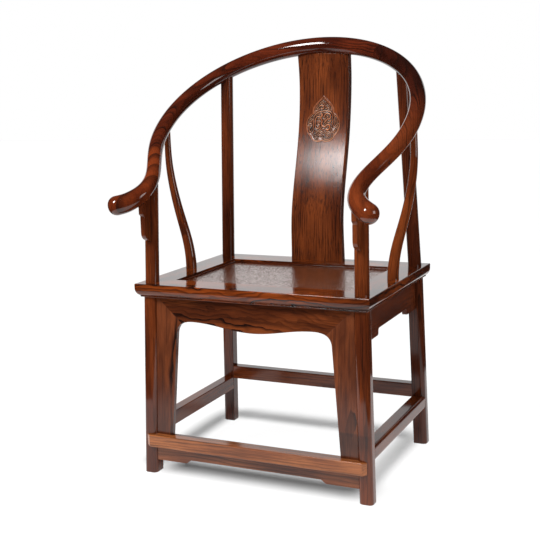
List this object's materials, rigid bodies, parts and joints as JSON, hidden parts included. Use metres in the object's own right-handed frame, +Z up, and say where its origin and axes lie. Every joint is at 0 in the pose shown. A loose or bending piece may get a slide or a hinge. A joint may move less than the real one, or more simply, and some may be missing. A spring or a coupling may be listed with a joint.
{
  "type": "horseshoe back armchair",
  "caption": "Armchair with a round sloping horseshoe rail that forms back and arms in one sweep, a bent splat with a carved medallion, a woven seat panel and a footrest.",
  "frame": {"origin": "on the floor, under the middle of the seat frame", "axes": "+Z up, +Y from the front of the seat to its back, +X to the right as seen by someone who faces the chair"},
  "size_m": [0.6909, 0.5763, 1.0573],
  "materials": {
    "rosewood": "polished lacquer",
    "panel_wood": "lacquered, unpolished",
    "wedge_wood": "end grain, polished lacquer",
    "woven_mat": "fine woven cane with a lacquer coat"
  },
  "bodies": {
    "root": {"arm_rail_left": "rosewood", "shoulder_rail_left": "rosewood", "crest_rail": "rosewood", "shoulder_rail_right": "rosewood", "arm_rail_right": "rosewood", "front_leg_left": "rosewood", "front_leg_right": "rosewood", "rear_leg_left": "rosewood", "rear_leg_right": "rosewood", "side_post_left": "rosewood", "side_post_right": "rosewood", "seat_rail_front": "rosewood", "seat_rail_right": "rosewood", "seat_rail_rear": "rosewood", "seat_rail_left": "rosewood", "seat_board": "panel_wood", "seat_mat": "woven_mat", "mat_strip_front": "rosewood", "mat_strip_right": "rosewood", "mat_strip_rear": "rosewood", "mat_strip_left": "rosewood", "seat_batten_left": "panel_wood", "seat_batten_right": "panel_wood", "front_apron": "rosewood", "front_strip_left": "rosewood", "front_strip_right": "rosewood", "rear_apron": "rosewood", "side_apron_left": "rosewood", "side_apron_right": "rosewood", "side_stretcher_left": "rosewood", "side_stretcher_right": "rosewood", "rear_stretcher": "rosewood", "footrest": "rosewood", "footrest_apron": "rosewood", "bracket_left": "rosewood", "bracket_right": "rosewood", "back_splat": "rosewood", "rail_wedges": "wedge_wood"}
  },
  "joints": []
}
